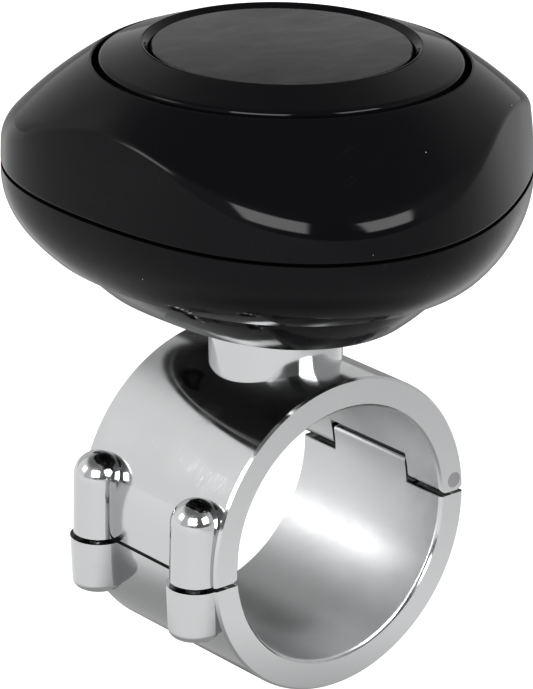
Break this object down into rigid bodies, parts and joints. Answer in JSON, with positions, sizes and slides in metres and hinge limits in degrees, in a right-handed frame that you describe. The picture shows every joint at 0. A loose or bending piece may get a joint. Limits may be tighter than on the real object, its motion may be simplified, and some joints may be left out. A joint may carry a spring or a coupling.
{
  "type": "steering wheel spinner knob",
  "caption": "Three-lobed gloss black knob that spins on a ball bearing on the neck of a hinged chrome clamp for a steering wheel rim.",
  "frame": {"origin": "centre of the clamp's bore, on the wheel rim's centre line", "axes": "+Z from the rim towards the knob, +Y along the rim, the hinge at +X and the clamp screws at -X"},
  "size_m": [0.065, 0.066, 0.0806],
  "materials": {
    "chrome": "bright chrome plate on a zinc casting, with a few hairline scratches",
    "pin_steel": "plain turned steel",
    "screw_steel": "zinc plated steel",
    "black_steel": "black oxide steel",
    "bearing_steel": "ground bearing steel",
    "cage_nylon": "moulded nylon",
    "black_gloss": "glossy black moulded plastic with tiny specks",
    "black_cap": "glossy black moulded plastic",
    "grey_disc": "glossy dark inlay with faint wavy streaks"
  },
  "bodies": {
    "clamp": {"upper_clamp": "chrome", "hinge_pin": "pin_steel", "spindle_bolt": "screw_steel", "flat_washer": "screw_steel", "lock_washer": "screw_steel", "bearing_inner_race": "bearing_steel"},
    "clamp_jaw": {"lower_clamp": "chrome"},
    "jaw_screws": {"clamp_screws": "screw_steel"},
    "knob": {"knob_base_shell": "black_gloss", "knob_top_shell": "black_gloss", "bezel_cap": "black_cap", "top_disc": "grey_disc", "shell_screws": "black_steel", "bearing_outer_race": "bearing_steel", "bearing_lower_shield": "bearing_steel", "bearing_upper_shield": "bearing_steel", "bearing_retainer": "screw_steel", "retainer_screws": "screw_steel"},
    "ball_set": {"bearing_cage": "cage_nylon", "bearing_balls": "bearing_steel"}
  },
  "joints": [
    {"name": "knob_spin", "type": "hinge", "parent": "clamp", "child": "knob", "pos_m": [0, 0, 0.0348], "axis": [0, 0, 1], "continuous": true},
    {"name": "ball_set_spin", "type": "hinge", "parent": "clamp", "child": "ball_set", "pos_m": [0, 0, 0.0348], "axis": [0, 0, 1], "continuous": true},
    {"name": "clamp_open", "type": "hinge", "parent": "clamp", "child": "clamp_jaw", "pos_m": [0.01868, 0, 0.0025], "axis": [0, -1, 0], "range_deg": [0, 90]},
    {"name": "screws_out", "type": "slide", "parent": "clamp_jaw", "child": "jaw_screws", "axis": [0, 0, -1], "range_m": [0, 0.0095]}
  ],
  "couplings": [
    {"joint": "ball_set_spin", "follows": "knob_spin", "ratio": 0.62535},
    {"joint": "screws_out", "follows": "clamp_open", "m_per_rad": 0.006}
  ]
}
